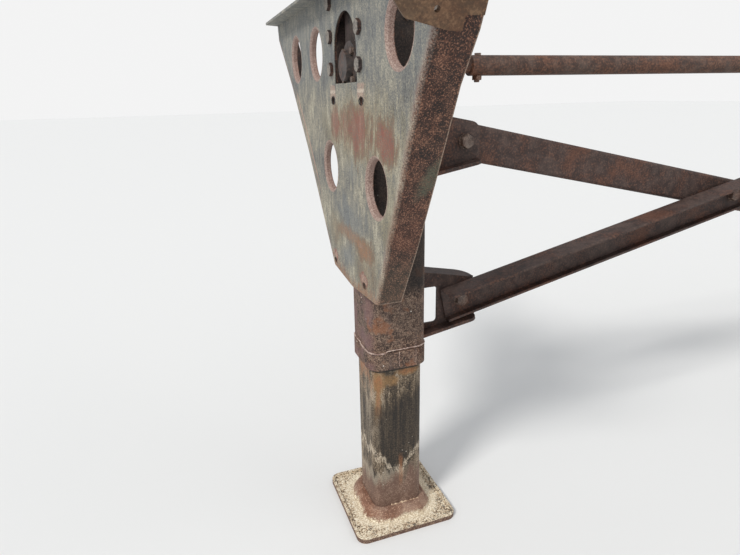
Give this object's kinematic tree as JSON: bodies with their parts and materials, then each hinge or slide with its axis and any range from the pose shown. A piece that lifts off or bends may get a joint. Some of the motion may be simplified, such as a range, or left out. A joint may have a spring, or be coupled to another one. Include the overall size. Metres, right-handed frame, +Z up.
{
  "type": "semi trailer landing gear set",
  "caption": "Pair of telescopic support legs with square feet, perforated wing plates, crossed braces, a cross shaft and a folding crank that raise and hold a parked trailer's front.",
  "frame": {"origin": "Middle of the kerb side foot's sole, on the ground.", "axes": "X runs across the trailer from the kerb side leg to the road side leg, Y runs towards the trailer's rear, Z is up."},
  "size_m": [2.452, 1.1342, 1.2226],
  "materials": {
    "wing_sheet": "weathered grey sheet with rust stains",
    "tab_steel": "speckled brown rust",
    "leg_paint": "old dark paint gone to brown rust",
    "greased_steel": "greasy steel with vertical streaks",
    "foot_steel": "rusty steel under sandy dust",
    "brace_steel": "dark brown rust",
    "shaft_steel": "dull dark steel with rust",
    "case_iron": "dark casting, greasy and rusted",
    "crank_steel": "worn black paint with rust",
    "grip_rubber": "matt moulded grip"
  },
  "bodies": {
    "kerb_leg": {"kerb_foot": "foot_steel", "kerb_inner_tube": "greased_steel"},
    "frame": {"kerb_outer_tube": "leg_paint", "kerb_collar": "leg_paint", "kerb_top_cap": "leg_paint", "kerb_wing_plate": "wing_sheet", "kerb_front_tab": "tab_steel", "kerb_mount_angles": "leg_paint", "kerb_lower_ear": "brace_steel", "kerb_upper_ear": "brace_steel", "kerb_bearing_cap": "case_iron", "road_outer_tube": "leg_paint", "road_collar": "leg_paint", "road_top_cap": "leg_paint", "road_wing_plate": "wing_sheet", "road_front_tab": "tab_steel", "road_mount_angles": "leg_paint", "road_lower_ear": "brace_steel", "road_upper_ear": "brace_steel", "road_bearing_cap": "case_iron", "kerb_shaft_bearing": "case_iron", "gear_case": "case_iron", "gear_cover": "case_iron", "brace_front": "brace_steel", "brace_rear": "brace_steel"},
    "road_leg": {"road_foot": "foot_steel", "road_inner_tube": "greased_steel"},
    "drive_shaft": {"cross_shaft": "shaft_steel", "kerb_stub_shaft": "shaft_steel", "crank_shaft": "shaft_steel"},
    "crank": {"crank_clevis": "crank_steel", "crank_pin": "crank_steel", "crank_rod": "crank_steel", "crank_grip": "grip_rubber"}
  },
  "joints": [
    {"name": "crank_turn", "type": "hinge", "parent": "frame", "child": "drive_shaft", "pos_m": [1, 0, 1.0715], "axis": [1, 0, 0], "range_deg": [-12600, 4320]},
    {"name": "kerb_leg_travel", "type": "slide", "parent": "kerb_leg", "child": "frame", "axis": [0, 0, 1], "range_m": [-0.333, 0.1145]},
    {"name": "road_leg_travel", "type": "slide", "parent": "frame", "child": "road_leg", "axis": [0, 0, -1], "range_m": [-0.333, 0.1145]},
    {"name": "crank_fold", "type": "hinge", "parent": "drive_shaft", "child": "crank", "pos_m": [2.28, 0, 1.0715], "axis": [0, -1, 0], "range_deg": [0, 90]}
  ],
  "couplings": [
    {"joint": "kerb_leg_travel", "follows": "crank_turn", "m_per_rad": 0.001512},
    {"joint": "road_leg_travel", "follows": "crank_turn", "m_per_rad": 0.001512}
  ]
}
